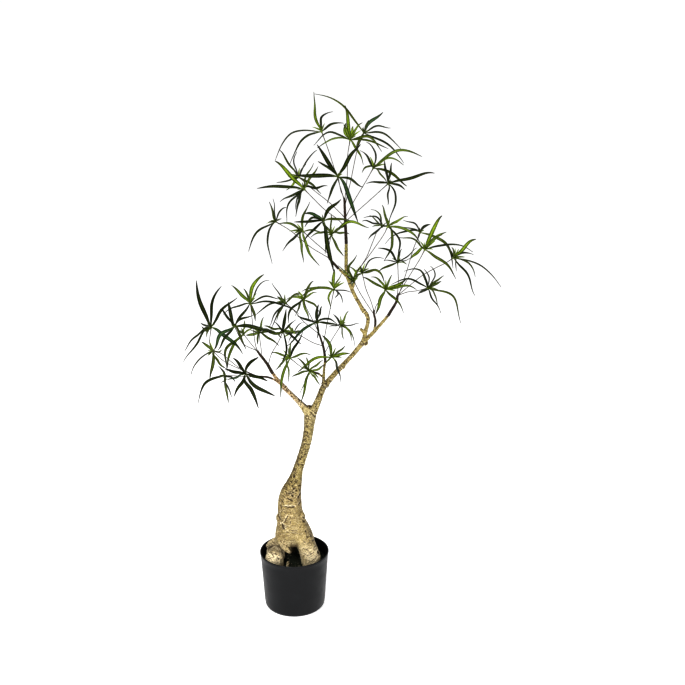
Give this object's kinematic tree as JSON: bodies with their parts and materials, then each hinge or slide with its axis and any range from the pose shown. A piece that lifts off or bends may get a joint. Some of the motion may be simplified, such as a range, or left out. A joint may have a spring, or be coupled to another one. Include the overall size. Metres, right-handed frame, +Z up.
{
  "type": "potted bottle tree",
  "caption": "Free-standing potted tree with a swollen forked trunk on arching roots, twigs with stalked whorls of long narrow leaves, and a tapered black pot.",
  "frame": {"origin": "centre of the pot's flat underside, on the surface that it stands on", "axes": "+Z up along the pot's axis; -Y is the front that the picture shows; +X to the right, the way the trunk leans"},
  "size_m": [0.6905, 0.2826, 1.2033],
  "materials": {
    "pot": "satin black moulded plastic",
    "soil": "dark granular filling with lighter grains",
    "bark": "tan, pitted and cracked bark with darker scars",
    "twig": "dark brown twigs with thin grey-brown stalks",
    "leaf_light": "semi-gloss yellow-green leaf, paler along the midrib",
    "leaf_mid": "semi-gloss mid green leaf, darker to the tip",
    "leaf_dark": "semi-gloss dark blue-green leaf, nearly black at the tip"
  },
  "bodies": {
    "root": {"pot": "pot", "soil": "soil", "trunk": "bark", "twig_crown": "twig", "twig_crown_side": "twig", "twig_upper_side": "twig", "twig_right": "twig", "twig_lower_side": "twig", "twig_middle": "twig", "twig_middle_side": "twig", "twig_left": "twig", "twig_left_side": "twig", "spray_top_left": "leaf_mid", "spray_top_middle": "leaf_light", "spray_top_right": "leaf_dark", "spray_crown_front": "leaf_dark", "spray_crown_right": "leaf_light", "spray_crown_low_right": "leaf_dark", "spray_crown_left": "leaf_dark", "spray_crown_back": "leaf_light", "spray_shoulder_left": "leaf_mid", "spray_shoulder_low": "leaf_light", "spray_shoulder_front": "leaf_dark", "spray_shoulder_right": "leaf_light", "spray_inner_left": "leaf_dark", "spray_inner_right": "leaf_light", "spray_outer_top": "leaf_dark", "spray_outer_middle": "leaf_light", "spray_outer_right": "leaf_light", "spray_outer_left": "leaf_mid", "spray_outer_low": "leaf_mid", "spray_fork_right": "leaf_light", "spray_fork_left": "leaf_light", "spray_fork_low": "leaf_light", "spray_far_left_top": "leaf_dark", "spray_far_left_front": "leaf_dark", "spray_left_top": "leaf_light", "spray_left_inner": "leaf_light", "spray_left_back": "leaf_mid", "spray_far_left_low": "leaf_light", "spray_low_left_front": "leaf_dark", "spray_low_left": "leaf_dark", "spray_left_front": "leaf_dark", "spray_middle_back": "leaf_light", "spray_middle_left": "leaf_mid", "spray_middle_top": "leaf_light", "spray_middle_front": "leaf_dark", "spray_low_middle_left": "leaf_light", "spray_low_middle": "leaf_light", "spray_low_middle_right": "leaf_light", "spray_inside_low": "leaf_mid", "spray_inside_top": "leaf_light"}
  },
  "joints": []
}
